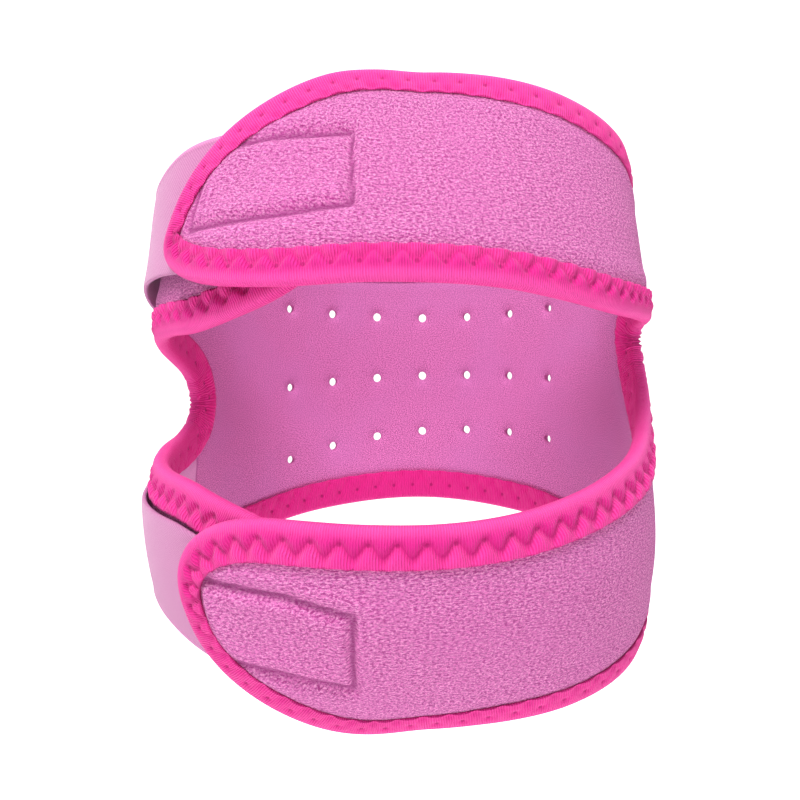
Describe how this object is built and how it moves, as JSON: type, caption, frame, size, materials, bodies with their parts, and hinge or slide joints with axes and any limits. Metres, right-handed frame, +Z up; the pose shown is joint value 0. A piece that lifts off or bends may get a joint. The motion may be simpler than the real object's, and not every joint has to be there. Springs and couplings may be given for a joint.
{
  "type": "patella strap",
  "caption": "Double-loop knee strap in its worn form: bands above and below an open kneecap joined by a perforated rear panel, with bound edges and overlapping hook-and-loop ends.",
  "frame": {"origin": "on the axis of the leg, level with the middle of the kneecap", "axes": "+Z up along the leg, -Y out of the front of the knee, +X to the viewer's right in the front view"},
  "size_m": [0.1251, 0.123, 0.1458],
  "materials": {
    "terry": "brushed loop cloth over foam",
    "tape": "ribbed knit tape",
    "tab": "pale brushed loop cloth",
    "hook": "hook tape"
  },
  "bodies": {
    "root": {"body": "terry", "edge_binding": "tape", "upper_loop_tab": "tab", "upper_hook_patch": "hook", "lower_loop_tab": "tab", "lower_hook_patch": "hook"}
  },
  "joints": []
}
